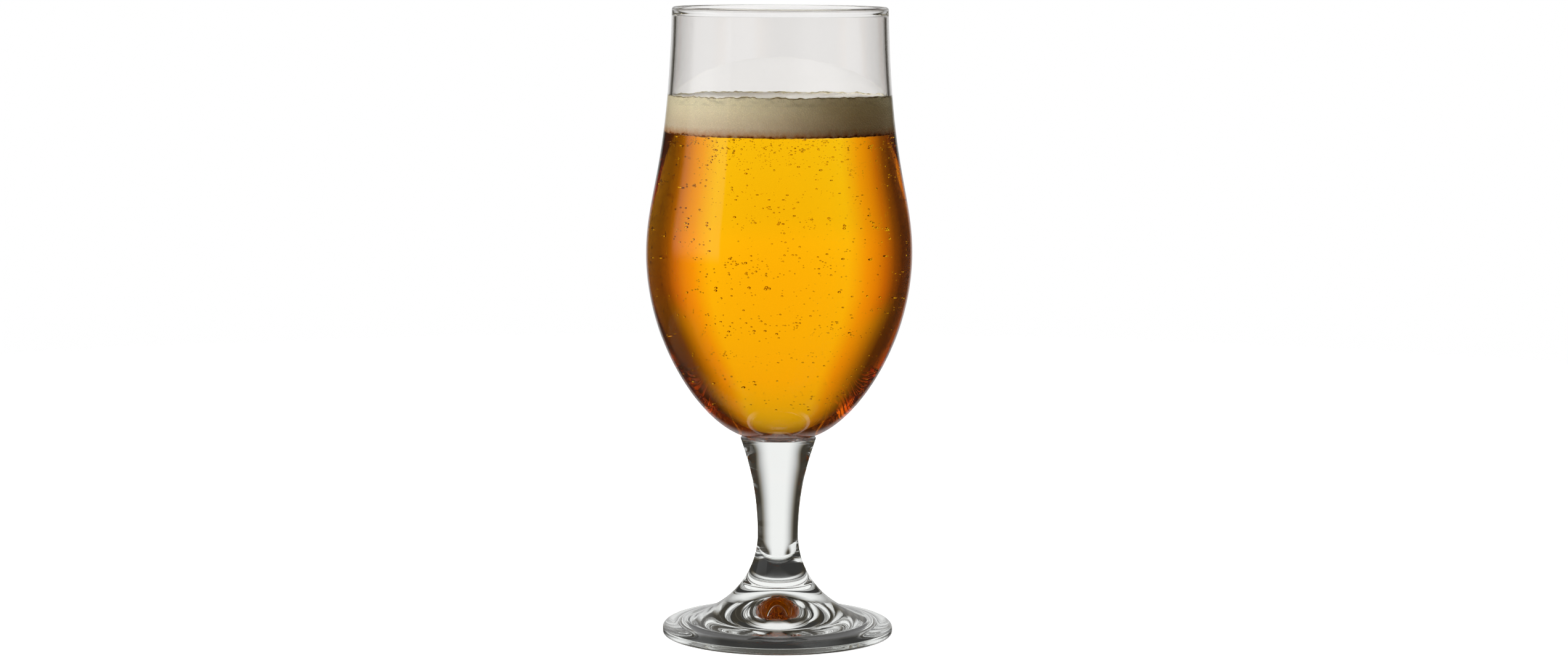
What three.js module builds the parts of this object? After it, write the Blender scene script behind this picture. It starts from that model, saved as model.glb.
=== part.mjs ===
// A stemmed beer glass, full. A thin blown bowl is fused onto the flat disc of a pressed stem, and the
// stem onto a low domed foot. The bowl holds beer and its head of foam.
// Millimetres, +Z up. The origin is the centre of the ring that the foot stands on.

import * as THREE from 'three';

// Foot
const FOOT_RADIUS = 37.4;
const FOOT_HEIGHT = 24;            // table to the seam with the stem
const EDGE_WIDTH = 3.5;            // rounded edge, from its widest line in to the dome
const SHOULDER_HEIGHT = 4.3;
const SHOULDER_SLOPE = 0.1;        // fall of the dome there, per millimetre outwards
const EDGE_HEIGHT = 1.9;           // widest level of the edge
const EDGE_CORNER = 1.1;           // fire-polished corner under it
const RING_WIDTH = 4.3;            // the flat that stands on the table
const HOLLOW_DEPTH = 11.1;         // domed recess inside the ring
const LIP_WIDTH = 3.2;             // where the recess comes down to the ring
const LIP_HEIGHT = 3;
const LIP_SLOPE = 0.12;            // fall of the recess there, per millimetre outwards

// Stem
const STEM_LENGTH = 40.3;          // seam to the face of the disc
const SEAM_RADIUS = 7.96;
const SEAM_SLOPE = 0.336;          // spread of stem and foot at their seam, per millimetre down
const WAIST_RADIUS = 6.6;
const WAIST_LEVEL = 8.4;           // above the seam
const DISC_RADIUS = 12.25;
const DISC_SLOPE = 0.276;          // spread of the stem under its disc, per millimetre up
const DISC_ROUND = 0.25;           // crisp pressed edge

// Bowl, with levels above the pad that rests on the disc
const BOWL_HEIGHT = 138.7;
const BELLY_RADIUS = 42.8;
const BELLY_LEVEL = 59.6;
const RIM_RADIUS = 34.6;
const RIM_TAPER = 0.021;           // lean of the wall towards the rim, per millimetre up
const PAD_RADIUS = 7.6;
const WALL = 1.35;
const BASE = 3.3;                  // glass over the pad
const BEAD_WIDTH = 1.8;            // fire-polished rim, a little thicker than the wall
const BEAD_FADE = 2;               // height over which the bead runs into the wall

// Contents
const FILL_GAP = 0.3;              // clearance between the wall and what it holds
const HEAD_SPACE = 28;             // rim to the foam
const FOAM_DEPTH = 12;
const FOAM_CROWN = 0.8;            // rise of the foam in the middle

// Fullness of each curve: its handles as shares of the curve's own rise or reach
const PAD_FULLNESS = 0.42;
const BELLY_FULLNESS = 0.513;
const CHEST_FULLNESS = 0.255;
const NECK_FULLNESS = 0.658;
const DISC_FULLNESS = 0.125;
const WAIST_FULLNESS_UP = 0.545;
const WAIST_FULLNESS_DOWN = 0.351;
const SEAM_FULLNESS_UP = 0.314;
const SEAM_FULLNESS_DOWN = 0.547;
const SHOULDER_FULLNESS = 0.46;
const EDGE_FULLNESS = 0.55;
const HOLLOW_FULLNESS_IN = 0.212;
const HOLLOW_FULLNESS_OUT = 0.556;
const LIP_FULLNESS = 0.55;
const LIP_FULLNESS_DOWN = 0.06;
const BASE_FADE = 5;               // power at which the base thins out into the wall

// Facets
const AROUND = 48;
const LONG_CURVE = 13;
const SHORT_CURVE = 7;
const ROUND = 4;

// Places that follow from the sizes
const SHOULDER_RADIUS = FOOT_RADIUS - EDGE_WIDTH;
const STEM_SEAT = FOOT_HEIGHT;
const BOWL_SEAT = STEM_SEAT + STEM_LENGTH;
const FOAM_TOP = BOWL_HEIGHT - HEAD_SPACE;
const BEER_LEVEL = FOAM_TOP - FOAM_DEPTH;

// A point of a profile: its distance from the axis, and its height
function at(radius, height) {
  return new THREE.Vector2(radius, height);
}

function curve(start, startHandle, endHandle, end, steps) {
  return new THREE.CubicBezierCurve(start, startHandle, endHandle, end).getPoints(steps);
}

function arc(centre, radius, startAngle, endAngle, steps) {
  return new THREE.EllipseCurve(centre.x, centre.y, radius, radius, startAngle, endAngle).getPoints(steps);
}

// One profile from runs of points, with the ends that two runs share written once
function join(...runs) {
  const points = [];
  for (const point of runs.flat()) {
    const last = points[points.length - 1];
    if (!last || last.distanceTo(point) > 1e-6) {
      points.push(point);
    }
  }
  return points;
}

// The part of a rising run between two heights, cut exactly at each
function between(points, low, high) {
  const kept = [];
  for (let i = 0; i < points.length; i += 1) {
    const here = points[i];
    const before = points[i - 1];
    for (const level of [low, high]) {
      if (before && before.y < level && here.y > level) {
        kept.push(before.clone().lerp(here, (level - before.y) / (here.y - before.y)));
      }
    }
    if (here.y >= low && here.y <= high) {
      kept.push(here);
    }
  }
  return kept;
}

// A run moved to its left side, square to itself, by the depth that each height asks for
function inward(points, depthAt) {
  return points.map((point, i) => {
    const before = points[Math.max(i - 1, 0)];
    const after = points[Math.min(i + 1, points.length - 1)];
    const along = after.clone().sub(before).normalize();
    const depth = depthAt(point.y);
    return at(Math.max(point.x - along.y * depth, 0), point.y + along.x * depth);
  });
}

// A profile from the axis back to the axis, turned about +Z
function turned(name, profile, material) {
  const geometry = new THREE.LatheGeometry(profile, AROUND);
  geometry.rotateX(Math.PI / 2);
  const mesh = new THREE.Mesh(geometry, material);
  mesh.name = name;
  return mesh;
}

// Outer face of the bowl: flat pad, full belly, and a neck that leans in to the rim
function bowlOutside() {
  const beadRadius = BEAD_WIDTH / 2;
  const padReach = PAD_FULLNESS * (BELLY_RADIUS - PAD_RADIUS);
  const belly = at(BELLY_RADIUS, BELLY_LEVEL);
  const rim = at(RIM_RADIUS, BOWL_HEIGHT - beadRadius);
  const rise = rim.y - belly.y;
  const neckHandle = NECK_FULLNESS * rise;
  const lower = curve(
    at(PAD_RADIUS, 0),
    at(PAD_RADIUS + padReach, 0),
    at(BELLY_RADIUS, BELLY_LEVEL * (1 - BELLY_FULLNESS)),
    belly,
    LONG_CURVE,
  );
  const upper = curve(
    belly,
    at(BELLY_RADIUS, belly.y + CHEST_FULLNESS * rise),
    at(RIM_RADIUS + RIM_TAPER * neckHandle, rim.y - neckHandle),
    rim,
    LONG_CURVE,
  );
  return join([at(0, 0)], lower, upper);
}

// Glass at a height: the full base over the pad, thinning out to the even wall at the belly
function glassAt(height) {
  const fade = Math.max(1 - height / BELLY_LEVEL, 0) ** BASE_FADE;
  return WALL + (BASE - WALL) * fade;
}

function bowlInside(clearance) {
  return inward(bowlOutside(), (height) => glassAt(height) + clearance);
}

function bowlProfile() {
  const beadRadius = BEAD_WIDTH / 2;
  const beadLevel = BOWL_HEIGHT - beadRadius;
  const bead = arc(at(RIM_RADIUS - beadRadius, beadLevel), beadRadius, 0, Math.PI, 2 * ROUND);
  const inside = between(bowlInside(0), 0, beadLevel - BEAD_FADE);
  return join(bowlOutside(), bead, inside.reverse());
}

function stemProfile() {
  const rise = STEM_LENGTH - WAIST_LEVEL;
  const waist = at(WAIST_RADIUS, WAIST_LEVEL);
  const discHandle = DISC_FULLNESS * rise;
  const seamHandle = SEAM_FULLNESS_UP * WAIST_LEVEL;
  const underDisc = at(DISC_RADIUS, STEM_LENGTH - DISC_ROUND);
  const lower = curve(
    at(SEAM_RADIUS, 0),
    at(SEAM_RADIUS - SEAM_SLOPE * seamHandle, seamHandle),
    at(WAIST_RADIUS, WAIST_LEVEL * (1 - WAIST_FULLNESS_DOWN)),
    waist,
    SHORT_CURVE,
  );
  const upper = curve(
    waist,
    at(WAIST_RADIUS, WAIST_LEVEL + WAIST_FULLNESS_UP * rise),
    at(DISC_RADIUS - DISC_SLOPE * discHandle, underDisc.y - discHandle),
    underDisc,
    LONG_CURVE,
  );
  const edge = arc(at(DISC_RADIUS - DISC_ROUND, underDisc.y), DISC_ROUND, 0, Math.PI / 2, ROUND);
  return join([at(0, 0)], lower, upper, edge, [at(0, STEM_LENGTH)]);
}

function footProfile() {
  const ringOutside = FOOT_RADIUS - EDGE_CORNER;
  const ringInside = ringOutside - RING_WIDTH;
  const rise = FOOT_HEIGHT - SHOULDER_HEIGHT;
  const seamHandle = SEAM_FULLNESS_DOWN * rise;
  const shoulderHandle = SHOULDER_FULLNESS * (SHOULDER_RADIUS - SEAM_RADIUS);
  const shoulder = at(SHOULDER_RADIUS, SHOULDER_HEIGHT);
  const overhang = EDGE_FULLNESS * (FOOT_RADIUS - SHOULDER_RADIUS);
  const lip = at(ringInside - LIP_WIDTH, LIP_HEIGHT);
  const lipReach = HOLLOW_FULLNESS_OUT * lip.x;
  const lipDrop = LIP_FULLNESS * LIP_WIDTH;
  const hollow = curve(
    at(0, HOLLOW_DEPTH),
    at(HOLLOW_FULLNESS_IN * lip.x, HOLLOW_DEPTH),
    at(lip.x - lipReach, LIP_HEIGHT + LIP_SLOPE * lipReach),
    lip,
    SHORT_CURVE,
  );
  const drop = curve(
    lip,
    at(lip.x + lipDrop, LIP_HEIGHT - LIP_SLOPE * lipDrop),
    at(ringInside, LIP_FULLNESS_DOWN * LIP_HEIGHT),
    at(ringInside, 0),
    ROUND,
  );
  const corner = arc(at(ringOutside, EDGE_CORNER), EDGE_CORNER, -Math.PI / 2, 0, ROUND);
  const edge = curve(
    at(FOOT_RADIUS, EDGE_HEIGHT),
    at(FOOT_RADIUS, EDGE_HEIGHT + EDGE_FULLNESS * (SHOULDER_HEIGHT - EDGE_HEIGHT)),
    at(SHOULDER_RADIUS + overhang, SHOULDER_HEIGHT - SHOULDER_SLOPE * overhang),
    shoulder,
    ROUND,
  );
  const dome = curve(
    shoulder,
    at(SHOULDER_RADIUS - shoulderHandle, SHOULDER_HEIGHT + SHOULDER_SLOPE * shoulderHandle),
    at(SEAM_RADIUS + SEAM_SLOPE * seamHandle, FOOT_HEIGHT - seamHandle),
    at(SEAM_RADIUS, FOOT_HEIGHT),
    LONG_CURVE,
  );
  return join(hollow, drop, corner, edge, dome, [at(0, FOOT_HEIGHT)]);
}

// Beer follows the inside of the bowl up to its level
function beerProfile() {
  return join(between(bowlInside(FILL_GAP), 0, BEER_LEVEL), [at(0, BEER_LEVEL)]);
}

// Foam lies on the beer and ends in a low crown
function foamProfile() {
  const side = between(bowlInside(FILL_GAP), BEER_LEVEL, FOAM_TOP - FOAM_CROWN);
  const edge = side[side.length - 1];
  const outerHandle = at(edge.x * 2 / 3, FOAM_TOP);
  const innerHandle = at(edge.x / 3, FOAM_TOP);
  const crown = curve(edge, outerHandle, innerHandle, at(0, FOAM_TOP), SHORT_CURVE);
  return join([at(0, BEER_LEVEL)], side, crown);
}

function clear(color, roughness, opacity) {
  return new THREE.MeshStandardMaterial({ color, roughness, metalness: 0, transparent: true, opacity });
}

function glass(color) {
  return clear(color, 0.03, 0.35);
}

const liquid = clear('#f2a900', 0.05, 0.85);
const froth = new THREE.MeshStandardMaterial({ color: '#dcd3bb', roughness: 0.85, metalness: 0 });

const foot = turned('foot', footProfile(), glass('#dfe5e2'));

const stem = turned('stem', stemProfile(), glass('#e4e8e6'));
stem.position.z = STEM_SEAT;

const filledBowl = new THREE.Group();
filledBowl.position.z = BOWL_SEAT;
filledBowl.add(turned('bowl', bowlProfile(), glass('#eef1f0')));
filledBowl.add(turned('beer', beerProfile(), liquid));
filledBowl.add(turned('foam_head', foamProfile(), froth));

const group = new THREE.Group();
group.add(foot, stem, filledBowl);

export default group;
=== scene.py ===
"""A stemmed beer glass, full: a thin blown bowl on a pressed stem and foot, beer, gas bubbles and foam."""

import math
import random

import bpy
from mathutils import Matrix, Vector


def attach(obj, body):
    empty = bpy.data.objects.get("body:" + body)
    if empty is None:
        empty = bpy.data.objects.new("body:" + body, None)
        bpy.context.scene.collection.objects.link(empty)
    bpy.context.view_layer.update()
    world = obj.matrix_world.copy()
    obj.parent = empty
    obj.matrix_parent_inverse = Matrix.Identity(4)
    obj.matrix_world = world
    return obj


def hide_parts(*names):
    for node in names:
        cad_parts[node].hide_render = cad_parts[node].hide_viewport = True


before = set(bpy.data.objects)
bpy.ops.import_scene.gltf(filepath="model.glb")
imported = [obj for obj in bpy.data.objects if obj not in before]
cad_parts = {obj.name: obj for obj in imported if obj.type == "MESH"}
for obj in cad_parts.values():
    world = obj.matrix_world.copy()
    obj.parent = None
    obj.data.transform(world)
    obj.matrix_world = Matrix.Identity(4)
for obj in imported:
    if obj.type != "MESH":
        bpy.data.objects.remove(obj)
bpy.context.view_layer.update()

MM = 0.001

# Foot
FOOT_RADIUS = 37.4 * MM
FOOT_HEIGHT = 24 * MM       # table to the seam with the stem
EDGE_WIDTH = 3.5 * MM       # rounded edge, from its widest line in to the dome
SHOULDER_HEIGHT = 4.3 * MM
SHOULDER_SLOPE = 0.1        # fall of the dome there, per millimetre outwards
EDGE_HEIGHT = 1.9 * MM      # widest level of the edge
EDGE_CORNER = 1.1 * MM      # fire-polished corner under it
RING_WIDTH = 4.3 * MM       # the flat that stands on the table
HOLLOW_DEPTH = 11.1 * MM    # domed recess inside the ring
HOLLOW_CROWN = 6.1 * MM     # how far out from its middle it stays nearly level
LIP_WIDTH = 3.2 * MM        # where the recess comes down to the ring
LIP_HEIGHT = 3 * MM
LIP_SLOPE = 0.12            # fall of the recess there, per millimetre outwards
LIP_REACH = 16 * MM         # how far in that slope is felt

# Stem
STEM_LENGTH = 40.3 * MM     # seam to the face of the disc
SEAM_RADIUS = 7.96 * MM
SEAM_SLOPE = 0.336          # spread of stem and foot at their seam, per millimetre down
WAIST_RADIUS = 6.6 * MM
WAIST_LEVEL = 8.4 * MM      # above the seam
DISC_RADIUS = 12.25 * MM
DISC_SLOPE = 0.276          # spread of the stem under its disc, per millimetre up
DISC_ROUND = 0.25 * MM      # crisp pressed edge

# Bowl, with levels above the pad that rests on the disc
BOWL_HEIGHT = 138.7 * MM
BELLY_RADIUS = 42.8 * MM
BELLY_LEVEL = 59.6 * MM
RIM_RADIUS = 34.6 * MM
RIM_TAPER = 0.021           # lean of the wall towards the rim, per millimetre up
PAD_RADIUS = 7.6 * MM
WALL = 1.35 * MM
BASE = 3.3 * MM             # glass over the pad
BASE_FADE = 5               # power at which the base thins out into the wall
BASE_REACH = 40 * MM        # the inner face is steep from here up
BEAD_RADIUS = 0.9 * MM      # fire-polished rim, a little thicker than the wall
BEAD_FADE = 2 * MM          # height over which the bead runs into the wall

# Contents
HEAD_SPACE = 28 * MM        # rim to the foam
FOAM_DEPTH = 12 * MM
WETTED = 0.04 * MM          # beer and foam run this far into the wall, so no air shows between
FOAM_SHOULDER = 0.5 * MM    # round of the foam's upper edge
SHOULDER_TUCK = 0.8         # its centre lies this share of it under the top of the foam
FOAM_CLIMB = 1.7 * MM       # foam clings to the wall this far above the level of its middle
FOAM_LEAN = math.radians(1.1)

# Fullness of each curve: its handles as shares of the curve's own rise or reach
PAD_FULLNESS = 0.42
BELLY_FULLNESS = 0.513
CHEST_FULLNESS = 0.255
NECK_FULLNESS = 0.658
DISC_FULLNESS = 0.125
WAIST_FULLNESS_UP = 0.545
WAIST_FULLNESS_DOWN = 0.351
SEAM_FULLNESS_UP = 0.314
SEAM_FULLNESS_DOWN = 0.547
SHOULDER_FULLNESS = 0.46
EDGE_FULLNESS = 0.55
LIP_FULLNESS = 0.55
LIP_FULLNESS_DOWN = 0.06
FOAM_FULLNESS_OUT = 0.96
FOAM_FULLNESS_IN = 0.8

# Gas bubbles
BUBBLE_RADIUS = 0.29 * MM
BUBBLE_FLATNESS = 0.86
BUBBLE_GAP = 1.2 * MM       # the nearest that a bubble's centre comes to the wall or the foam
BUBBLE_DEPTH = 82 * MM      # the lowest bubbles are this far under the highest
CROWDED_UP = 1.7            # over 1 for more of them high up
CROWDED_OUT = 0.4           # under 1 for more of them near the wall
SMALLEST_BUBBLE = 0.4       # as a share of the one that is copied
SIZE_SPREAD = 0.9           # the largest is larger by this
RARELY_LARGE = 3            # over 1 for more small ones
SLICE_BUBBLES = 60          # bubbles placed one by one in each of the slices of the drink
SLICES = 3
SLICE_COPIES = 30           # copies of those slices, turned round the axis
SLICE_DROP = 1.2            # square root of the most that a copy is lowered, in millimetres

# Facets
AROUND = 144
FOAM_AROUND = 360
CREASE = math.radians(50)
ONE_POINT = 0.002 * MM      # points nearer than this are one
ONE_LEVEL = 0.01 * MM       # and so are levels nearer than this

# Finishes
GLASS_IOR = 1.52
BEER_IOR = 1.34
GLASS_WAVINESS = 0.01 * MM
BLOWN_WAVE = 14 * MM
PRESSED_WAVE = 9 * MM
FOAM_CRUMB = 1.6 * MM
FOAM_WANDER = 2.2 * MM      # how far the brown along the foam's base wanders up and down
FOAM_SHADING = 14 * MM      # height over which its colour runs from brown to cream
FOAM_PORE = 0.4 * MM
PORE_DEPTH = 1.3 * MM       # deeper than the real ones, so that they show

# Places that follow from the sizes
SHOULDER_RADIUS = FOOT_RADIUS - EDGE_WIDTH
BOWL_SEAT = FOOT_HEIGHT + STEM_LENGTH
FOAM_TOP = BOWL_HEIGHT - HEAD_SPACE
BEER_LEVEL = FOAM_TOP - FOAM_DEPTH
FOAM_BASE = BOWL_SEAT + BEER_LEVEL

random.seed(7)


# Profiles, as (radius, height) points

def bezier(start, start_handle, end_handle, end, steps):
    """Points and directions along a cubic curve of (radius, height) pairs."""
    points, ways = [], []
    p = [Vector(v) for v in (start, start_handle, end_handle, end)]
    for i in range(steps + 1):
        t = i / steps
        u = 1 - t
        points.append(p[0] * u**3 + 3 * p[1] * u * u * t + 3 * p[2] * u * t * t + p[3] * t**3)
        ways.append(3 * ((p[1] - p[0]) * u * u + 2 * (p[2] - p[1]) * u * t + (p[3] - p[2]) * t * t))
    return points, ways


def arc(centre, radius, start, end, steps):
    """Points round a circle, from one angle to another in degrees."""
    angles = [math.radians(start + (end - start) * i / steps) for i in range(steps + 1)]
    return [Vector((centre[0] + radius * math.cos(a), centre[1] + radius * math.sin(a))) for a in angles]


def bowl_outside():
    """The bowl's outer face from its axis up to the rim bead, with its directions."""
    pad_handle = PAD_FULLNESS * (BELLY_RADIUS - PAD_RADIUS)
    rim_level = BOWL_HEIGHT - BEAD_RADIUS
    rise = rim_level - BELLY_LEVEL
    neck = NECK_FULLNESS * rise
    rings = 5
    pad = [Vector((PAD_RADIUS * i / rings, 0)) for i in range(rings)]
    lower, lower_ways = bezier(
        (PAD_RADIUS, 0), (PAD_RADIUS + pad_handle, 0),
        (BELLY_RADIUS, BELLY_LEVEL * (1 - BELLY_FULLNESS)), (BELLY_RADIUS, BELLY_LEVEL), steps=64)
    upper, upper_ways = bezier(
        (BELLY_RADIUS, BELLY_LEVEL), (BELLY_RADIUS, BELLY_LEVEL + CHEST_FULLNESS * rise),
        (RIM_RADIUS + RIM_TAPER * neck, rim_level - neck), (RIM_RADIUS, rim_level), steps=56)
    return pad + lower + upper[1:], [Vector((1, 0))] * rings + lower_ways + upper_ways[1:]


def bowl_inside(clearance):
    """The outer face moved in by the thickness of the glass, and by a clearance."""
    run = []
    for point, way in zip(*bowl_outside()):
        fade = max(1 - point.y / BELLY_LEVEL, 0) ** BASE_FADE
        depth = WALL + (BASE - WALL) * fade + clearance
        way = way.normalized()
        run.append(Vector((max(point.x - way.y * depth, 0), point.y + way.x * depth)))
    return run


def between(run, low, high):
    """The part of a rising run between two heights, cut exactly at each."""
    kept = []
    for before, here in zip([None] + run[:-1], run):
        for level in (low, high):
            if before and before.y < level < here.y:
                kept.append(before.lerp(here, (level - before.y) / (here.y - before.y)))
        if low <= here.y <= high:
            kept.append(here)
    return kept


def raised(run, height):
    return [Vector((p.x, p.y + height)) for p in run]


def bowl_profile():
    outside, _ = bowl_outside()
    top = BOWL_HEIGHT - BEAD_RADIUS
    bead = arc((RIM_RADIUS - BEAD_RADIUS, top), BEAD_RADIUS, 0, 180, steps=20)
    inside = between(bowl_inside(0), 0, top - BEAD_FADE)
    last = inside[-1]
    fade, _ = bezier(
        last, (last.x, last.y + BEAD_RADIUS), (bead[-1].x, top - BEAD_RADIUS), bead[-1], steps=10)
    return raised(outside + bead[1:-1] + fade[::-1] + inside[-2::-1], BOWL_SEAT)


def stem_profile():
    rise = STEM_LENGTH - WAIST_LEVEL
    seam_handle = SEAM_FULLNESS_UP * WAIST_LEVEL
    disc_handle = DISC_FULLNESS * rise
    under = STEM_LENGTH - DISC_ROUND
    lower, _ = bezier(
        (SEAM_RADIUS, 0), (SEAM_RADIUS - SEAM_SLOPE * seam_handle, seam_handle),
        (WAIST_RADIUS, WAIST_LEVEL * (1 - WAIST_FULLNESS_DOWN)), (WAIST_RADIUS, WAIST_LEVEL), steps=20)
    upper, _ = bezier(
        (WAIST_RADIUS, WAIST_LEVEL), (WAIST_RADIUS, WAIST_LEVEL + WAIST_FULLNESS_UP * rise),
        (DISC_RADIUS - DISC_SLOPE * disc_handle, under - disc_handle), (DISC_RADIUS, under), steps=56)
    edge = arc((DISC_RADIUS - DISC_ROUND, under), DISC_ROUND, 0, 90, steps=8)
    face = [Vector((PAD_RADIUS, STEM_LENGTH)), Vector((0, STEM_LENGTH))]
    return raised([Vector((0, 0))] + lower + upper[1:] + edge[1:] + face, FOOT_HEIGHT)


def foot_profile():
    ring_out = FOOT_RADIUS - EDGE_CORNER
    ring_in = ring_out - RING_WIDTH
    lip_radius = ring_in - LIP_WIDTH
    rise = FOOT_HEIGHT - SHOULDER_HEIGHT
    seam_handle = SEAM_FULLNESS_DOWN * rise
    shoulder_handle = SHOULDER_FULLNESS * (SHOULDER_RADIUS - SEAM_RADIUS)
    overhang = EDGE_FULLNESS * EDGE_WIDTH
    edge_handle = EDGE_FULLNESS * (SHOULDER_HEIGHT - EDGE_HEIGHT)
    lip_handle = LIP_FULLNESS * LIP_WIDTH
    hollow, _ = bezier(
        (0, HOLLOW_DEPTH), (HOLLOW_CROWN, HOLLOW_DEPTH),
        (lip_radius - LIP_REACH, LIP_HEIGHT + LIP_SLOPE * LIP_REACH), (lip_radius, LIP_HEIGHT), steps=56)
    lip, _ = bezier(
        (lip_radius, LIP_HEIGHT), (lip_radius + lip_handle, LIP_HEIGHT - LIP_SLOPE * lip_handle),
        (ring_in, LIP_FULLNESS_DOWN * LIP_HEIGHT), (ring_in, 0), steps=16)
    corner = arc((ring_out, EDGE_CORNER), EDGE_CORNER, -90, 0, steps=10)
    edge, _ = bezier(
        (FOOT_RADIUS, EDGE_HEIGHT), (FOOT_RADIUS, EDGE_HEIGHT + edge_handle),
        (SHOULDER_RADIUS + overhang, SHOULDER_HEIGHT - SHOULDER_SLOPE * overhang),
        (SHOULDER_RADIUS, SHOULDER_HEIGHT), steps=20)
    dome, _ = bezier(
        (SHOULDER_RADIUS, SHOULDER_HEIGHT),
        (SHOULDER_RADIUS - shoulder_handle, SHOULDER_HEIGHT + SHOULDER_SLOPE * shoulder_handle),
        (SEAM_RADIUS + SEAM_SLOPE * seam_handle, FOOT_HEIGHT - seam_handle),
        (SEAM_RADIUS, FOOT_HEIGHT), steps=56)
    return hollow + lip[1:] + corner + edge + dome[1:] + [Vector((0, FOOT_HEIGHT))]


def beer_profile():
    inside = between(bowl_inside(-WETTED), 0, BEER_LEVEL)
    rings = 12
    surface = [Vector((inside[-1].x * i / rings, BEER_LEVEL)) for i in reversed(range(rings))]
    return raised(inside + surface, BOWL_SEAT)


def foam_profile():
    """The foam's side cut fine, its round upper edge, and a top that dips from there to its middle."""
    side = between(bowl_inside(-WETTED), BEER_LEVEL, FOAM_TOP - SHOULDER_TUCK * FOAM_SHOULDER)
    reach = side[-1].x
    rings = 14
    under = [Vector((side[0].x * math.sin(math.pi / 2 * i / rings), BEER_LEVEL)) for i in range(rings)]
    cuts = 4
    fine_side = []
    for a, b in zip(side[:-1], side[1:]):
        fine_side += [a.lerp(b, i / cuts) for i in range(cuts)]
    shoulder = arc((reach - FOAM_SHOULDER, side[-1].y), FOAM_SHOULDER, 0, 90, steps=4)
    low = shoulder[-1].y - FOAM_CLIMB
    top, _ = bezier(
        shoulder[-1], (reach * FOAM_FULLNESS_OUT, low), (reach * FOAM_FULLNESS_IN, low), (0, low), steps=24)
    return raised(under + fine_side + shoulder + top[1:], BOWL_SEAT)


# Modelling

def nothing_selected():
    if bpy.context.object and bpy.context.object.mode != "OBJECT":
        bpy.ops.object.mode_set(mode="OBJECT")
    bpy.ops.object.select_all(action="DESELECT")


def chosen(piece):
    """Selects one piece alone, and makes it the active one."""
    nothing_selected()
    piece.select_set(True)
    bpy.context.view_layer.objects.active = piece


def turned(name, profile, around=AROUND):
    """A profile drawn point by point from one vertex, and spun about the glass's axis."""
    nothing_selected()
    first = profile[0]
    bpy.ops.mesh.primitive_plane_add(size=MM, location=(first.x, 0, first.y))
    piece = bpy.context.object
    piece.name = name
    bpy.ops.object.transform_apply(location=True)
    bpy.ops.object.mode_set(mode="EDIT")
    bpy.ops.mesh.select_all(action="SELECT")
    bpy.ops.mesh.merge(type="CENTER")
    for here, there in zip(profile[:-1], profile[1:]):
        step = (there.x - here.x, 0, there.y - here.y)
        bpy.ops.mesh.extrude_region_move(TRANSFORM_OT_translate={"value": step})
    bpy.ops.mesh.select_all(action="SELECT")
    bpy.ops.mesh.spin(steps=around, angle=math.tau, center=(0, 0, 0), axis=(0, 0, 1))
    bpy.ops.mesh.select_all(action="SELECT")
    bpy.ops.mesh.remove_doubles(threshold=ONE_POINT)
    bpy.ops.mesh.normals_make_consistent(inside=False)
    bpy.ops.mesh.select_all(action="DESELECT")
    bpy.ops.object.mode_set(mode="OBJECT")
    bpy.ops.object.shade_smooth_by_angle(angle=CREASE)
    return piece


def uneven(piece, name, still, moved, wave, height):
    """Lifts and lowers the points of a piece, more and more from one level to another."""
    chosen(piece)
    group = piece.vertex_groups.new(name=name)
    for vertex in piece.data.vertices:
        share = min(max((vertex.co.z - still) / (moved - still), 0), 1)
        group.add([vertex.index], share, "REPLACE")
    froth_waves = bpy.data.textures.new(name, "CLOUDS")
    froth_waves.noise_scale = wave
    bpy.ops.object.modifier_add(type="DISPLACE")
    lift = piece.modifiers[-1]
    lift.texture = froth_waves
    lift.texture_coords = "LOCAL"
    lift.direction = "Z"
    lift.vertex_group = name
    lift.strength = height
    bpy.ops.object.modifier_apply(modifier=lift.name)


def leaning(piece, above, pivot, angle):
    """Tilts all of a piece above a level, about a line that crosses the axis at the pivot's level."""
    chosen(piece)
    bpy.ops.object.mode_set(mode="EDIT")
    bpy.ops.mesh.select_all(action="DESELECT")
    bpy.ops.object.mode_set(mode="OBJECT")
    for vertex in piece.data.vertices:
        vertex.select = vertex.co.z > above
    bpy.ops.object.mode_set(mode="EDIT")
    bpy.ops.transform.rotate(value=angle, orient_axis="X", center_override=(0, 0, pivot))
    bpy.ops.object.mode_set(mode="OBJECT")


bowl = turned("blown_bowl", bowl_profile())
stem = turned("pressed_stem", stem_profile())
foot = turned("pressed_foot", foot_profile())
beer = turned("pale_beer", beer_profile())
foam = turned("beer_foam", foam_profile(), FOAM_AROUND)

# Foam settles in long waves, a little off level, and is crumbly on top and frayed along its base
uneven(foam, "froth top", still=FOAM_BASE + 8 * MM, moved=FOAM_BASE + 11 * MM, wave=7 * MM, height=1.2 * MM)
leaning(foam, above=FOAM_BASE + 8.5 * MM, pivot=FOAM_BASE + 10 * MM, angle=FOAM_LEAN)
uneven(foam, "froth crumbs", still=FOAM_BASE + 9 * MM, moved=FOAM_BASE + 11 * MM,
       wave=1.3 * MM, height=0.8 * MM)
uneven(foam, "froth base", still=FOAM_BASE + 1 * MM, moved=FOAM_BASE, wave=1.6 * MM, height=0.7 * MM)


# Materials

SMOOTH = {"interpolation_type": "SMOOTHSTEP"}
# A Mix node's colours are its inputs 6 and 7, and its output 2
COLOURS = {"data_type": "RGBA"}
TINTED = {"data_type": "RGBA", "blend_type": "MULTIPLY"}


def linear(code):
    """A hex colour of the screen as linear red, green, blue and alpha."""
    parts = [int(code[i:i + 2], 16) / 255 for i in (1, 3, 5)]
    return [c / 12.92 if c <= 0.04045 else ((c + 0.055) / 1.055) ** 2.4 for c in parts] + [1]


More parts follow.
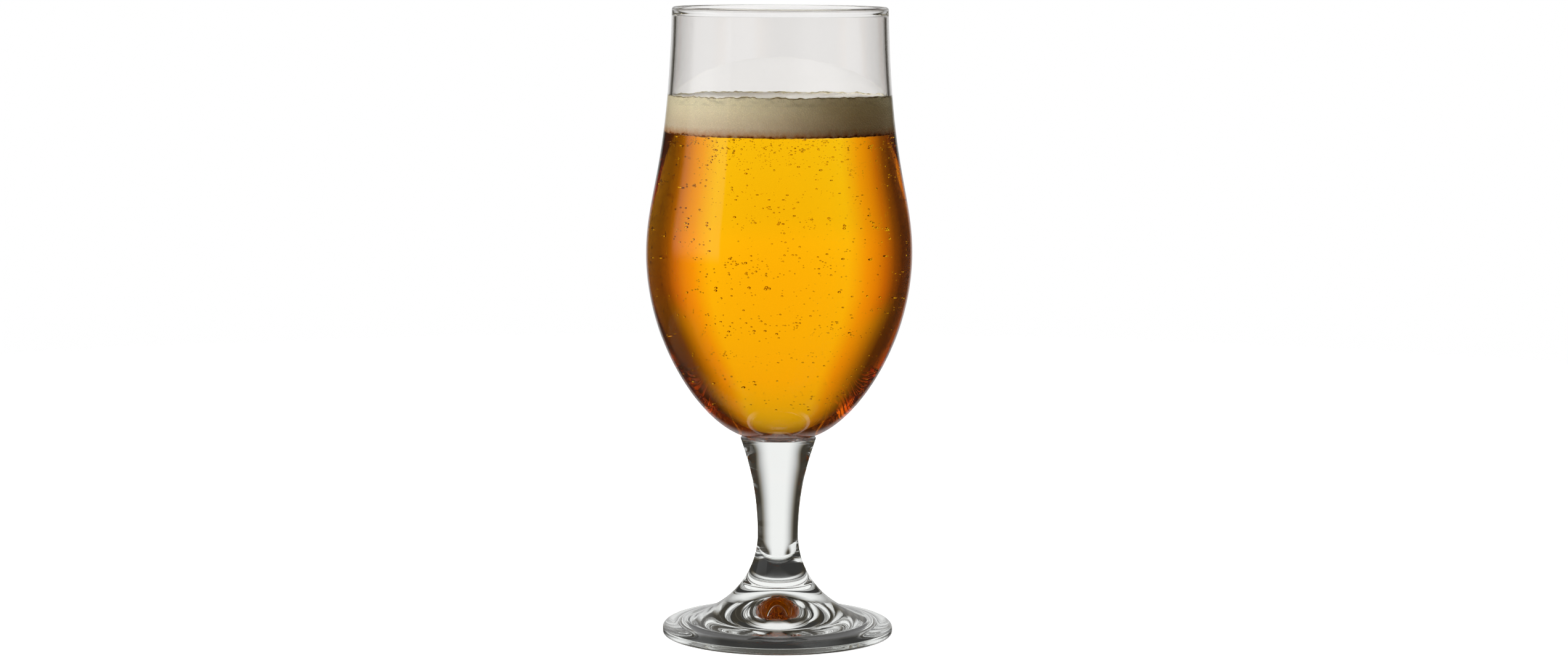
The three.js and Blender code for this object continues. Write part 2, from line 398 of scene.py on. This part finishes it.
def add(tree, kind, values=None, stops=(), **settings):
    """Adds a node with its settings, its ramp stops, and for each input a value or a node to link."""
    node = tree.nodes.new(kind)
    for name, setting in settings.items():
        setattr(node, name, setting)
    for name, value in (values or {}).items():
        if isinstance(value, bpy.types.Node):
            value = value.outputs[0]
        if isinstance(value, bpy.types.NodeSocket):
            tree.links.new(value, node.inputs[name])
        else:
            node.inputs[name].default_value = value
    for _ in stops[2:]:
        node.color_ramp.elements.new(0.5)
    for number, (place, code) in enumerate(stops):
        node.color_ramp.elements[number].position = place
        node.color_ramp.elements[number].color = linear(code)
    return node


def new_material(name):
    material = bpy.data.materials.new(name)
    material.use_nodes = True
    material.node_tree.nodes.clear()
    return material


# Soda-lime glass, cooled from the melt without being ground: smooth as a mirror, with faint long waves.
# Light crosses it almost unchanged, so it shows by what it bends and by the gloss of its faces.
def glass_material(name, tint, wave_size, gloss):
    material = new_material(name)
    tree = material.node_tree
    place = add(tree, "ShaderNodeTexCoord").outputs["Object"]
    waves = add(tree, "ShaderNodeTexNoise", {"Vector": place, "Scale": 1 / wave_size, "Detail": 1.0})
    bump = add(tree, "ShaderNodeBump", {"Height": waves, "Strength": 1.0, "Distance": GLASS_WAVINESS})
    surface = add(tree, "ShaderNodeBsdfPrincipled", {
        "Base Color": linear(tint), "Roughness": 0.0, "IOR": GLASS_IOR, "Transmission Weight": 1.0,
        "Specular Tint": linear(gloss), "Normal": bump})
    add(tree, "ShaderNodeOutputMaterial", {"Surface": surface})
    return material


# Two gathers of glass fused while hot: no face is left between them, so nothing shows there.
def joint_material():
    material = new_material("fused glass joint")
    tree = material.node_tree
    clear = add(tree, "ShaderNodeBsdfTransparent")
    add(tree, "ShaderNodeOutputMaterial", {"Surface": clear})
    return material


# Pale lager, filtered bright: it takes out blue light and then green, so it is gold where it is
# thin and amber where it is deep. It wets the glass, so its outer face gives no gloss of its own.
def beer_material():
    material = new_material("pale lager")
    tree = material.node_tree
    surface = add(tree, "ShaderNodeBsdfPrincipled", {
        "Base Color": linear("#ffffff"), "Roughness": 0.0, "IOR": BEER_IOR, "Transmission Weight": 1.0,
        "Specular Tint": linear("#000000")})
    body = add(tree, "ShaderNodeVolumeAbsorption", {"Color": linear("#fff300"), "Density": 83.0})
    add(tree, "ShaderNodeOutputMaterial", {"Surface": surface, "Volume": body})
    return material


# The lager's own skin round a bubble of carbon dioxide: perfectly smooth, so it is dark at its edge
# and has a bright point of gloss.
def bubble_material():
    material = new_material("skin of a gas bubble")
    tree = material.node_tree
    surface = add(tree, "ShaderNodeBsdfPrincipled", {
        "Base Color": linear("#ffffff"), "Roughness": 0.0, "IOR": BEER_IOR, "Transmission Weight": 1.0})
    add(tree, "ShaderNodeOutputMaterial", {"Surface": surface})
    return material


# Beer foam, gas whipped into small bubbles by pouring: matt and cream white, with pores of less than
# half a millimetre. It is brown along its base, darker towards the bottom. Painted shade darkens its
# upper edge and the sunken borders of its pores, and painted light whitens its faces that turn up.
def foam_material():
    material = new_material("beer foam")
    tree = material.node_tree
    place = add(tree, "ShaderNodeTexCoord").outputs["Object"]
    height = add(tree, "ShaderNodeSeparateXYZ", {0: place}).outputs["Z"]
    normal = add(tree, "ShaderNodeNewGeometry").outputs["Normal"]
    upward = add(tree, "ShaderNodeSeparateXYZ", {0: normal}).outputs["Z"]

    # Its sides, from brown to cream, and its underside on the beer
    crumbs = add(tree, "ShaderNodeTexNoise", {"Vector": place, "Scale": 1 / FOAM_CRUMB, "Detail": 3})
    level = add(tree, "ShaderNodeMath", {0: crumbs, 1: FOAM_WANDER, 2: height}, operation="MULTIPLY_ADD")
    start = FOAM_BASE + FOAM_WANDER / 2
    share = add(tree, "ShaderNodeMapRange", {
        "Value": level, "From Min": start, "From Max": start + FOAM_SHADING})
    sides = add(tree, "ShaderNodeValToRGB", {"Fac": share}, stops=(
        (0.0, "#6a3410"), (0.02, "#b07444"), (0.06, "#d8b08a"), (0.2, "#ecdebf"), (0.74, "#f0e8c6")))
    below = add(tree, "ShaderNodeMapRange", {"Value": upward, "From Min": -0.4, "From Max": -0.8}, **SMOOTH)
    body = add(tree, "ShaderNodeMix", {0: below, 6: sides, 7: linear("#fbe3b4")}, **COLOURS).outputs[2]

    # Pores, as cells a little taller than wide, raised in the middle; painted shade darkens their sunken
    # borders
    tall = add(tree, "ShaderNodeMapping", {"Vector": place, "Scale": (1, 1, 0.7)})
    cells = add(tree, "ShaderNodeTexVoronoi", {"Vector": tall, "Scale": 1 / FOAM_PORE, "Smoothness": 0.4},
                feature="SMOOTH_F1")
    pore_height_and_shade = add(tree, "ShaderNodeMapRange", {
        "Value": cells, "From Min": 0.1, "From Max": 0.6, "To Min": 1.0, "To Max": 0.86})
    # Painted shade in the pores' sunken borders, multiplied into the colour
    pore_painted_shade = add(tree, "ShaderNodeCombineColor", {"Red": pore_height_and_shade, "Green": pore_height_and_shade, "Blue": pore_height_and_shade})
    pore_shaded = add(tree, "ShaderNodeMix", {0: 1.0, 6: body, 7: pore_painted_shade}, **TINTED).outputs[2]

    # Painted shade on the upper edge, where its faces turn half up, and painted light on the faces turned up
    edge_painted_shade = add(tree, "ShaderNodeValToRGB", {"Fac": upward}, stops=(
        (0.1, "#ffffff"), (0.25, "#8e8579"), (0.5, "#a49c90"), (0.62, "#ffffff")))
    edge_shaded = add(tree, "ShaderNodeMix", {0: 1.0, 6: pore_shaded, 7: edge_painted_shade}, **TINTED).outputs[2]
    # Faces turned up are painted near white, as painted light from above
    upward_painted_light = add(tree, "ShaderNodeMapRange", {"Value": upward, "From Min": 0.62, "From Max": 0.85}, **SMOOTH)
    colour = add(tree, "ShaderNodeMix", {0: upward_painted_light, 6: edge_shaded, 7: linear("#f6f4ee")}, **COLOURS).outputs[2]
    bump = add(tree, "ShaderNodeBump", {"Height": pore_height_and_shade, "Strength": 1.0, "Distance": PORE_DEPTH})
    surface = add(tree, "ShaderNodeBsdfPrincipled", {
        "Base Color": colour, "Roughness": 0.8, "Specular IOR Level": 0.0, "Normal": bump})
    add(tree, "ShaderNodeOutputMaterial", {"Surface": surface})
    return material


blown_glass = glass_material("blown soda-lime glass", tint="#f8f7f6", wave_size=BLOWN_WAVE, gloss="#ffffff")
pressed_glass = glass_material(
    "pressed soda-lime glass", tint="#f8faf8", wave_size=PRESSED_WAVE, gloss="#ffffff")
# Beer and glass bend light nearly alike, so a wetted face has hardly any gloss. The faces in the slit
# between bowl and disc share this glass.
wet_glass = glass_material(
    "blown glass wetted by beer", tint="#ffffff", wave_size=BLOWN_WAVE, gloss="#000000")
fused_joint = joint_material()
lager = beer_material()
bubble_skin = bubble_material()
froth = foam_material()


# Gas bubbles, as hollows in the beer

def gas_bubble():
    """One bubble, a little flattened, with its faces turned inwards because the drink is around it."""
    nothing_selected()
    bpy.ops.mesh.primitive_uv_sphere_add(segments=8, ring_count=6, radius=BUBBLE_RADIUS)
    bpy.ops.object.mode_set(mode="EDIT")
    bpy.ops.mesh.select_all(action="SELECT")
    bpy.ops.transform.resize(value=(1, 1, BUBBLE_FLATNESS))
    bpy.ops.mesh.flip_normals()
    bpy.ops.object.mode_set(mode="OBJECT")
    bpy.ops.object.shade_smooth()
    return bpy.context.object


def copied(piece):
    """A copy of a piece with a mesh of its own, left selected and active."""
    chosen(piece)
    bpy.ops.object.duplicate(linked=False)
    return bpy.context.object


def joined(pieces):
    """All the pieces as one object, which keeps the first one's name."""
    nothing_selected()
    for piece in pieces:
        piece.select_set(True)
    bpy.context.view_layer.objects.active = pieces[0]
    bpy.ops.object.join()
    return pieces[0]


def bubble_slice():
    """Bubbles all round the drink, most of them high up and near the wall, each with its size."""
    inside = between(bowl_inside(BUBBLE_GAP), 0, BEER_LEVEL)
    first = gas_bubble()
    bubbles = []
    for number in range(SLICE_BUBBLES):
        depth = BUBBLE_DEPTH * random.random() ** CROWDED_UP + BUBBLE_GAP
        level = BEER_LEVEL - depth
        reach = min(inside, key=lambda p: abs(p.y - level)).x
        away = reach * random.random() ** CROWDED_OUT
        bearing = math.tau * number / SLICE_BUBBLES
        size = SMALLEST_BUBBLE + SIZE_SPREAD * random.random() ** RARELY_LARGE
        bubbles.append(copied(first))
        bpy.ops.transform.resize(value=(size, size, size), center_override=(0, 0, 0))
        bpy.ops.transform.translate(
            value=(away * math.cos(bearing), away * math.sin(bearing), BOWL_SEAT + level))
    chosen(first)
    bpy.ops.object.delete()
    bubbles = joined(bubbles)
    bpy.ops.object.transform_apply(location=True, rotation=True, scale=True)
    bubbles.data.materials.append(bubble_skin)
    return bubbles


slices = [bubble_slice() for _ in range(SLICES)]
for number in range(SLICE_COPIES):
    slices.append(copied(slices[number % SLICES]))
    bpy.ops.transform.rotate(value=random.uniform(0, math.tau), orient_axis="Z", center_override=(0, 0, 0))
    bpy.ops.transform.translate(value=(0, 0, -random.uniform(0, SLICE_DROP) ** 2 * MM))
    bpy.ops.object.transform_apply(location=True, rotation=True)


# Finishing

def flat_at(face, level):
    return abs(face.center.z - level) < ONE_LEVEL and abs(face.normal.z) > 0.99


def dull_on_disc(face):
    """The top of the stem's disc, because the slit between it and the bowl is too narrow to show gloss."""
    return flat_at(face, BOWL_SEAT)


def dull_on_bowl(face):
    """The bowl's inner face up to the foam, and its outer face over that slit."""
    out = Vector(face.center[:2])
    towards_axis = face.normal.xy.dot(out) < 0
    over_base = face.normal.z > 0.5 and face.center.z < BOWL_SEAT + BASE_REACH
    over_disc = face.normal.z < -0.5 and out.length < DISC_RADIUS
    return (towards_axis or over_base) and face.center.z < FOAM_BASE or over_disc


def handed_over(piece, node):
    """Puts a finished piece on the one body, in the place of its plain node."""
    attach(piece, "root")
    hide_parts(node)


def finished_glass(piece, glass, node, joints, dull=None):
    """Gives a glass piece its materials: its own, that of its joints, and that of its dull faces."""
    piece.data.materials.append(glass)
    piece.data.materials.append(fused_joint)
    if dull:
        piece.data.materials.append(wet_glass)
    for face in piece.data.polygons:
        out = Vector(face.center[:2]).length
        if any(flat_at(face, level) and out < reach for level, reach in joints):
            face.material_index = 1
        elif dull and dull(face):
            face.material_index = 2
    handed_over(piece, node)


# Level and radius of each fused joint
SEAM = (FOOT_HEIGHT, SEAM_RADIUS)
PAD = (BOWL_SEAT, PAD_RADIUS)

finished_glass(foot, pressed_glass, "foot", [SEAM])
finished_glass(stem, pressed_glass, "stem", [SEAM, PAD], dull_on_disc)
finished_glass(bowl, blown_glass, "bowl", [PAD], dull_on_bowl)
beer.data.materials.append(lager)
joined([beer] + slices)
handed_over(beer, "beer")
foam.data.materials.append(froth)
handed_over(foam, "foam_head")


# Floor, light and camera

# Bearing of each lit backdrop in degrees, with 0 behind the glass, and how many times narrower it is
BACKDROPS = ((0, 1), (-90, 1.6), (135, 1), (-45, 1))
BACK_EDGE = (26.5, 9.5)     # degrees off a backdrop's middle over which it comes up from dark to white
GLOSS_EDGE = (26, 12)       # the same for what gloss shows of the one behind the glass
WIDE_BACK_EDGE = 43         # where it starts for light straight through one piece of glass, and for
NARROWEST_RISE = -0.035     # light that rises or falls much more than this
# Bearing, rise and strength of the lights for matt faces
MATT_LIGHTS = ((-112, 0.15, 12.5), (18, 0.2, 9))

# Metres, degrees, and the lens in millimetres
FLOOR_RADIUS = 0.9
SOFTBOX_PLACE = Vector((-1.1, 0, 0.35))
SOFTBOX_AIM = Vector((0, 0, 0.14))
CAMERA_PLACE = (0, -1.1066, 0.22715)
CAMERA_TURN = (90 - 6.58, -0.28, -0.054)
CAMERA_LENS = 79.285


def ray_kinds(tree):
    """What Light Path gives, then 1 for a ray that lights a matt face, one out of glass, one off gloss."""
    path = add(tree, "ShaderNodeLightPath").outputs
    lighting = add(tree, "ShaderNodeMath", {0: path["Diffuse Depth"], 1: 1}, operation="MINIMUM")
    looking = add(tree, "ShaderNodeMath", {0: 1, 1: lighting}, operation="SUBTRACT")
    through = add(tree, "ShaderNodeMath", {0: path["Is Transmission Ray"], 1: looking}, operation="MULTIPLY")
    others = add(tree, "ShaderNodeMath", {0: looking, 1: through}, operation="SUBTRACT")
    glossy = add(tree, "ShaderNodeMath", {0: path["Is Glossy Ray"], 1: others}, operation="MULTIPLY")
    return path, lighting, through, glossy


# A white studio table. Glass shows only the part of it near the foot, as a glow with a painted shadow
# inside the standing ring and in front of it, because the lit backdrop stands in for the rest.
def floor_material():
    material = new_material("white studio floor")
    tree = material.node_tree
    path, lighting, through, glossy = ray_kinds(tree)
    place = add(tree, "ShaderNodeTexCoord").outputs["Object"]
    away = add(tree, "ShaderNodeVectorMath", {0: place}, operation="LENGTH").outputs["Value"]
    back = add(tree, "ShaderNodeSeparateXYZ", {0: place}).outputs["Y"]
    matt = add(tree, "ShaderNodeBsdfDiffuse", {"Color": linear("#e6e6e6")})
    lift = add(tree, "ShaderNodeMath", {0: path["Is Camera Ray"], 1: 0.85}, operation="MULTIPLY")
    glow = add(tree, "ShaderNodeEmission", {"Strength": lift})
    plain = add(tree, "ShaderNodeAddShader", {0: matt, 1: glow})

    # Painted shadow for light out of glass: a glow that is dark inside the standing ring and in front of the
    # foot
    outside_ring = add(tree, "ShaderNodeMapRange", {
        "Value": away, "From Min": 31.5 * MM, "From Max": 34.5 * MM}, **SMOOTH)
    behind = add(tree, "ShaderNodeMapRange", {
        "Value": back, "From Min": -26 * MM, "From Max": -8 * MM}, **SMOOTH)
    glow_with_painted_shadow = add(tree, "ShaderNodeMath", {0: outside_ring, 1: behind, 2: 0.04}, operation="MULTIPLY_ADD")
    floor_glow_painted_shadow = add(tree, "ShaderNodeEmission", {"Strength": glow_with_painted_shadow})
    shown = add(tree, "ShaderNodeMixShader", {0: through, 1: plain, 2: floor_glow_painted_shadow})

    # The table is clear to gloss and to light for matt faces, through glass past the foot, and at its rim
    far = add(tree, "ShaderNodeMapRange", {
        "Value": away, "From Min": 44 * MM, "From Max": 48 * MM, "To Max": through}, **SMOOTH)
    faded = add(tree, "ShaderNodeMapRange", {
        "Value": away, "From Min": 0.6, "From Max": 0.85, "To Max": path["Is Camera Ray"]}, **SMOOTH)
    unseen = add(tree, "ShaderNodeMath", {0: glossy, 1: lighting}, operation="MAXIMUM")
    unseen = add(tree, "ShaderNodeMath", {0: unseen, 1: far}, operation="MAXIMUM")
    unseen = add(tree, "ShaderNodeMath", {0: unseen, 1: faded}, operation="MAXIMUM")
    clear = add(tree, "ShaderNodeBsdfTransparent")
    surface = add(tree, "ShaderNodeMixShader", {0: unseen, 1: shown, 2: clear})
    add(tree, "ShaderNodeOutputMaterial", {"Surface": surface})
    return material


def backdrop_angles(tree, turn, way):
    """Degrees off the backdrop behind the glass, and off the nearest of all of them."""
    offs = []
    for middle, narrowed in BACKDROPS:
        off = add(tree, "ShaderNodeMath", {0: turn, 1: middle}, operation="SUBTRACT")
        off = add(tree, "ShaderNodeMath", {0: off, 1: 180}, operation="PINGPONG")
        offs.append(add(tree, "ShaderNodeMath", {0: off, 1: narrowed}, operation="MULTIPLY"))
    # The last backdrop is lit only for light that goes steeply down
    only_low = add(tree, "ShaderNodeMapRange", {
        "Value": way["Z"], "From Min": -0.35, "From Max": -0.28, "To Max": 90}, **SMOOTH)
    offs[-1] = add(tree, "ShaderNodeMath", {0: offs[-1], 1: only_low}, operation="ADD")
    nearest = offs[0]
    for off in offs[1:]:
        nearest = add(tree, "ShaderNodeMath", {0: nearest, 1: off}, operation="MINIMUM")
    return offs[0], nearest


def seen_through_glass(tree, path, way, behind, nearest):
    """How bright the studio is in light out of glass."""
    off_level = add(tree, "ShaderNodeMath", {0: way["Z"], 1: NARROWEST_RISE}, operation="SUBTRACT")
    off_level = add(tree, "ShaderNodeMath", {0: off_level}, operation="ABSOLUTE")
    one_piece = add(tree, "ShaderNodeMath", {0: path["Transmission Depth"], 1: 3.5}, operation="LESS_THAN")
    unmirrored = add(tree, "ShaderNodeMath", {0: path["Glossy Depth"], 1: 0.5}, operation="LESS_THAN")
    widened = add(tree, "ShaderNodeMath", {0: one_piece, 1: unmirrored, 2: off_level},
                  operation="MULTIPLY_ADD")
    edge = add(tree, "ShaderNodeMapRange", {
        "Value": widened, "From Min": 0.025, "From Max": 0.06,
        "To Min": BACK_EDGE[0], "To Max": WIDE_BACK_EDGE}, **SMOOTH)
    steep = add(tree, "ShaderNodeMapRange", {
        "Value": off_level, "From Min": 0.22, "From Max": 0.45, "To Min": 1.0, "To Max": 0.5}, **SMOOTH)
    edge = add(tree, "ShaderNodeMath", {0: edge, 1: steep}, operation="MULTIPLY")
    seen = add(tree, "ShaderNodeMapRange", {
        "Value": nearest, "From Min": edge, "From Max": BACK_EDGE[1],
        "To Min": 0.05, "To Max": 1.0}, **SMOOTH)
    # Well off every backdrop there is a faint glow
    far_off = add(tree, "ShaderNodeMapRange", {
        "Value": nearest, "From Min": 55, "From Max": 80, "To Min": 0.0, "To Max": 0.18}, **SMOOTH)
    seen = add(tree, "ShaderNodeMath", {0: seen, 1: far_off}, operation="MAXIMUM")

    # Through both walls of the bowl, light finds little when it rises, and less when it falls behind
    crossed = add(tree, "ShaderNodeMath", {0: path["Transmission Depth"], 1: 3.5}, operation="GREATER_THAN")
    over = add(tree, "ShaderNodeMapRange", {
        "Value": way["Z"], "From Min": 0.2, "From Max": 0.3, "To Min": 1.0, "To Max": 0.07}, **SMOOTH)
    shaded = add(tree, "ShaderNodeMapRange", {
        "Value": behind, "From Min": 25, "From Max": 38, "To Min": 0.4, "To Max": 1.0}, **SMOOTH)
    under = add(tree, "ShaderNodeMapRange", {
        "Value": way["Z"], "From Min": -0.1, "From Max": -0.25, "To Min": 1.0, "To Max": shaded}, **SMOOTH)
    dimmed = add(tree, "ShaderNodeMath", {0: over, 1: under}, operation="MULTIPLY")
    dimmed = add(tree, "ShaderNodeMix", {0: crossed, 2: 1.0, 3: dimmed})
    return add(tree, "ShaderNodeMath", {0: seen, 1: dimmed}, operation="MULTIPLY")


def mirrored_by_gloss(tree, turn, way, behind):
    """How bright gloss shows the studio: the backdrop behind the glass, and a softbox on the left."""
    left_side = add(tree, "ShaderNodeMapRange", {
        "Value": turn, "From Min": -129, "From Max": -126}, **SMOOTH)
    right_side = add(tree, "ShaderNodeMapRange", {
        "Value": turn, "From Min": -71, "From Max": -79}, **SMOOTH)
    foot_of_it = add(tree, "ShaderNodeMapRange", {
        "Value": way["Z"], "From Min": -0.12, "From Max": 0}, **SMOOTH)
    box = add(tree, "ShaderNodeMath", {0: left_side, 1: right_side}, operation="MULTIPLY")
    box = add(tree, "ShaderNodeMath", {0: box, 1: foot_of_it}, operation="MULTIPLY")
    back = add(tree, "ShaderNodeMapRange", {
        "Value": behind, "From Min": GLOSS_EDGE[0], "From Max": GLOSS_EDGE[1]}, **SMOOTH)
    mirrored = add(tree, "ShaderNodeMath", {0: back, 1: box}, operation="MAXIMUM")
    return add(tree, "ShaderNodeMath", {0: mirrored, 1: 0.5}, operation="MULTIPLY")


def matt_lights(tree, direction, way):
    """Light for matt faces: a key on the left, a weaker one behind, and a lamp overhead."""
    lights = []
    for bearing, rise, strength in MATT_LIGHTS:
        aim = Vector((math.sin(math.radians(bearing)), math.cos(math.radians(bearing)), rise)).normalized()
        facing = add(tree, "ShaderNodeVectorMath", {0: direction, 1: aim},
                     operation="DOT_PRODUCT").outputs["Value"]
        lights.append(add(tree, "ShaderNodeMapRange", {
            "Value": facing, "From Min": 0.87, "From Max": 0.97, "To Max": strength}, **SMOOTH))
    overhead = add(tree, "ShaderNodeMapRange", {
        "Value": way["Z"], "From Min": 0.97, "From Max": 0.99, "To Max": 20}, **SMOOTH)
    lights = add(tree, "ShaderNodeMath", {0: lights[0], 1: lights[1]}, operation="ADD")
    return add(tree, "ShaderNodeMath", {0: lights, 1: overhead}, operation="ADD")


def seen_through_drink(tree, turn, way, nearest):
    """The studio through the drink: white at a backdrop's middle, orange beside it, then brown or olive."""
    spread = add(tree, "ShaderNodeMapRange", {
        "Value": way["Z"], "From Min": 0, "From Max": 0.3, "To Min": 1 / 60, "To Max": 1.35 / 60}, **SMOOTH)
    right_hand = add(tree, "ShaderNodeMapRange", {
        "Value": turn, "From Min": 10, "From Max": 45, "To Min": 1.0, "To Max": 1.12}, **SMOOTH)
    spread = add(tree, "ShaderNodeMath", {0: spread, 1: right_hand}, operation="MULTIPLY")
    spread = add(tree, "ShaderNodeMath", {0: spread, 1: nearest}, operation="MULTIPLY")
    brown_sides = add(tree, "ShaderNodeValToRGB", {"Fac": spread}, stops=(
        (0.26, "#ffffff"), (0.367, "#f5cb95"), (0.433, "#e7b359"), (0.517, "#c58938"),
        (0.627, "#835823"), (0.76, "#4f300e"), (0.95, "#382208")))
    olive_sides = add(tree, "ShaderNodeValToRGB", {"Fac": spread}, stops=(
        (0.26, "#ffffff"), (0.367, "#f2d397"), (0.433, "#e0c15c"), (0.517, "#bfa43a"),
        (0.627, "#8e7924"), (0.76, "#57420e"), (0.95, "#3e2f08")))
    rising = add(tree, "ShaderNodeMapRange", {
        "Value": way["Z"], "From Min": 0.04, "From Max": 0.14}, **SMOOTH)
    sides = add(tree, "ShaderNodeMix", {0: rising, 6: brown_sides, 7: olive_sides}, **COLOURS).outputs[2]

    # Upwards it turns from white to yellow, and then olive
    upright = add(tree, "ShaderNodeMath", {0: way["Z"], 1: 0.2}, operation="ADD")
    upright = add(tree, "ShaderNodeValToRGB", {"Fac": upright}, stops=(
        (0.03, "#f7f8ff"), (0.08, "#fff9ff"), (0.165, "#fef2e6"), (0.287, "#fbe9bc"),
        (0.425, "#f7d789"), (0.62, "#dac059"), (0.8, "#b3953f")))
    colour = add(tree, "ShaderNodeMix", {0: 1.0, 6: sides, 7: upright}, **TINTED).outputs[2]
    return add(tree, "ShaderNodeBackground", {"Color": colour, "Strength": 1.14})


def studio_world():
    world = bpy.data.worlds.new("studio")
    world.use_nodes = True
    tree = world.node_tree
    tree.nodes.clear()
    path, lighting, through, glossy = ray_kinds(tree)
    direction = add(tree, "ShaderNodeTexCoord").outputs["Generated"]
    way = add(tree, "ShaderNodeSeparateXYZ", {0: direction}).outputs
    turn = add(tree, "ShaderNodeMath", {0: way["X"], 1: way["Y"]}, operation="ARCTAN2")
    turn = add(tree, "ShaderNodeMath", {0: turn}, operation="DEGREES")
    behind, nearest = backdrop_angles(tree, turn, way)

    # The walls darken upwards, and nothing in them is quite black
    seen = seen_through_glass(tree, path, way, behind, nearest)
    mirrored = mirrored_by_gloss(tree, turn, way, behind)
    walls = add(tree, "ShaderNodeMath", {0: mirrored, 1: glossy}, operation="MULTIPLY")
    walls = add(tree, "ShaderNodeMath", {0: seen, 1: through, 2: walls}, operation="MULTIPLY_ADD")
    ceiling = add(tree, "ShaderNodeMapRange", {
        "Value": way["Z"], "From Min": 0.85, "From Max": 0.35, "To Min": 0.2, "To Max": 1.0}, **SMOOTH)
    walls = add(tree, "ShaderNodeMath", {0: walls, 1: ceiling}, operation="MULTIPLY")
    least = add(tree, "ShaderNodeMath", {0: through, 1: glossy}, operation="ADD")
    least = add(tree, "ShaderNodeMath", {0: least, 1: 0.03}, operation="MULTIPLY")
    walls = add(tree, "ShaderNodeMath", {0: walls, 1: least}, operation="MAXIMUM")

    # The darker it is, the warmer
    lights = matt_lights(tree, direction, way)
    strength = add(tree, "ShaderNodeMath", {0: walls, 1: path["Is Camera Ray"]}, operation="ADD")
    strength = add(tree, "ShaderNodeMath", {0: lighting, 1: lights, 2: strength}, operation="MULTIPLY_ADD")
    shade = add(tree, "ShaderNodeValToRGB", {"Fac": strength}, stops=((0.0, "#fff0d2"), (0.5, "#ffffff")))
    plain = add(tree, "ShaderNodeBackground", {"Color": shade, "Strength": strength})

    # Warm light comes back from in front onto matt faces
    in_front = add(tree, "ShaderNodeMapRange", {
        "Value": way["Y"], "From Min": 0.1, "From Max": -0.9, "To Max": 0.31}, **SMOOTH)
    in_front = add(tree, "ShaderNodeMath", {0: in_front, 1: lighting}, operation="MULTIPLY")
    bounce = add(tree, "ShaderNodeBackground", {"Color": linear("#ffd795"), "Strength": in_front})
    plain = add(tree, "ShaderNodeAddShader", {0: plain, 1: bounce})

    # Light that has crossed the drink came through six faces, and through the empty bowl only four
    amber = seen_through_drink(tree, turn, way, nearest)
    in_drink = add(tree, "ShaderNodeMath", {0: path["Transmission Depth"], 1: 4.5}, operation="GREATER_THAN")
    in_drink = add(tree, "ShaderNodeMath", {0: in_drink, 1: through}, operation="MULTIPLY")
    surroundings = add(tree, "ShaderNodeMixShader", {0: in_drink, 1: plain, 2: amber})
    add(tree, "ShaderNodeOutputWorld", {"Surface": surroundings})
    return world


nothing_selected()
bpy.ops.mesh.primitive_circle_add(vertices=96, radius=FLOOR_RADIUS, fill_type="NGON", location=(0, 0, 0))
floor = bpy.context.object
floor.name = "floor"
floor.data.materials.append(floor_material())

nothing_selected()
bpy.ops.object.light_add(type="AREA", location=SOFTBOX_PLACE)
softbox = bpy.context.object
softbox.name = "left softbox"
softbox.data.shape = "RECTANGLE"
softbox.data.size = 0.7
softbox.data.size_y = 0.9
softbox.data.energy = 8
softbox.rotation_euler = (SOFTBOX_AIM - SOFTBOX_PLACE).to_track_quat("-Z", "Y").to_euler()
softbox.visible_glossy = False
softbox.visible_transmission = False

nothing_selected()
bpy.ops.object.camera_add(location=CAMERA_PLACE, rotation=[math.radians(angle) for angle in CAMERA_TURN])
camera = bpy.context.object
camera.data.sensor_width = 36
camera.data.lens = CAMERA_LENS
camera.data.clip_start = 0.01

scene = bpy.context.scene
scene.world = studio_world()
scene.camera = camera
scene.view_settings.view_transform = "Standard"
scene.cycles.max_bounces = 32           # light crosses many faces of glass in glass
scene.cycles.transmission_bounces = 32
scene.cycles.glossy_bounces = 16
